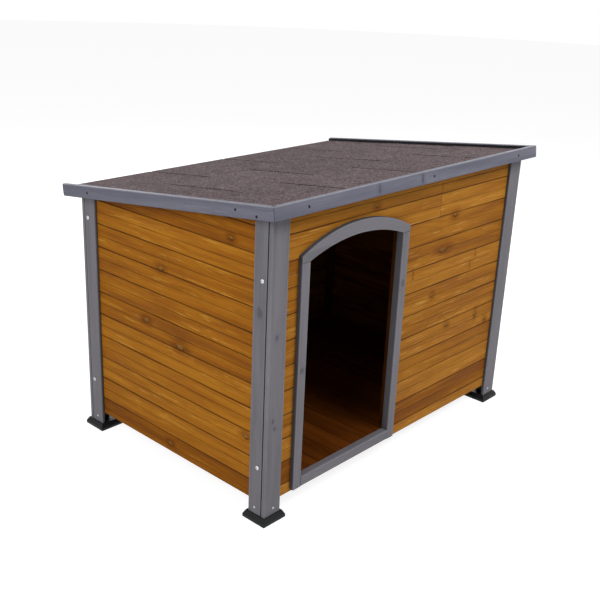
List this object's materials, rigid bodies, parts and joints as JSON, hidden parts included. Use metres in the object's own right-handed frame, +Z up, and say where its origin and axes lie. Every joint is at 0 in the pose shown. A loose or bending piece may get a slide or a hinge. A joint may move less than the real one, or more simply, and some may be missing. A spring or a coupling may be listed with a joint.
{
  "type": "dog house",
  "caption": "Wooden dog house with plank walls between grey corner boards, an arched doorway left of the middle and a hinged mono-pitch roof with shingles.",
  "frame": {"origin": "on the ground, in the middle of the box round the whole house", "axes": "+X to the right of someone who faces the doorway, +Y from the front to the back, +Z up"},
  "size_m": [1.053, 0.7614, 0.783],
  "materials": {
    "grey_paint": "grey satin paint on wood, edges eased",
    "trim_paint": "blue-grey satin paint on wood, edges eased",
    "honey_wood": "honey-brown stained softwood with knots, satin",
    "raw_wood": "sawn softwood, bare",
    "black_plastic": "black moulded plastic, fine texture",
    "bitumen": "black bitumen sheet, matte",
    "mineral_felt": "bitumen shingles with mineral grit, mauve-grey, rough",
    "zinc": "zinc-plated steel, satin"
  },
  "bodies": {
    "house": {"back_left_corner_batten": "raw_wood", "back_left_end_board": "grey_paint", "back_left_lower_screw": "zinc", "back_left_side_board": "grey_paint", "back_left_upper_screw": "zinc", "back_planks": "honey_wood", "back_rail": "grey_paint", "back_right_corner_batten": "raw_wood", "back_right_end_board": "grey_paint", "back_right_lower_screw": "zinc", "back_right_side_board": "grey_paint", "back_right_upper_screw": "zinc", "door_arch": "grey_paint", "door_left_jamb": "grey_paint", "door_left_stud": "raw_wood", "door_right_jamb": "grey_paint", "door_right_stud": "raw_wood", "door_sill": "grey_paint", "floor_bearer_back": "raw_wood", "floor_bearer_front": "raw_wood", "floor_bearer_left": "raw_wood", "floor_bearer_middle": "raw_wood", "floor_bearer_right": "raw_wood", "floor_panel_1": "honey_wood", "floor_panel_2": "honey_wood", "floor_panel_3": "honey_wood", "foot_back_left": "black_plastic", "foot_back_right": "black_plastic", "foot_front_left": "black_plastic", "foot_front_right": "black_plastic", "front_left_corner_batten": "raw_wood", "front_left_end_board": "grey_paint", "front_left_lower_screw": "zinc", "front_left_side_board": "grey_paint", "front_left_upper_screw": "zinc", "front_planks": "honey_wood", "front_right_corner_batten": "raw_wood", "front_right_end_board": "grey_paint", "front_right_lower_screw": "zinc", "front_right_side_board": "grey_paint", "front_right_upper_screw": "zinc", "front_top_rail": "raw_wood", "hinge_left_pin": "zinc", "hinge_left_wall_leaf": "zinc", "hinge_right_pin": "zinc", "hinge_right_wall_leaf": "zinc", "left_planks": "honey_wood", "left_top_rail": "raw_wood", "right_planks": "honey_wood", "right_top_rail": "raw_wood"},
    "roof": {"felt_underlay": "bitumen", "hinge_left_roof_leaf": "zinc", "hinge_right_roof_leaf": "zinc", "roof_deck": "honey_wood", "roof_front_trim": "trim_paint", "roof_left_trim": "trim_paint", "roof_rafter_1": "raw_wood", "roof_rafter_2": "raw_wood", "roof_right_trim": "trim_paint", "roof_shingles": "mineral_felt"}
  },
  "joints": [
    {"name": "roof_hinge", "type": "hinge", "parent": "house", "child": "roof", "pos_m": [0, 0.34078, 0.66397], "axis": [-1, 0, 0], "range_deg": [0, 85]}
  ]
}
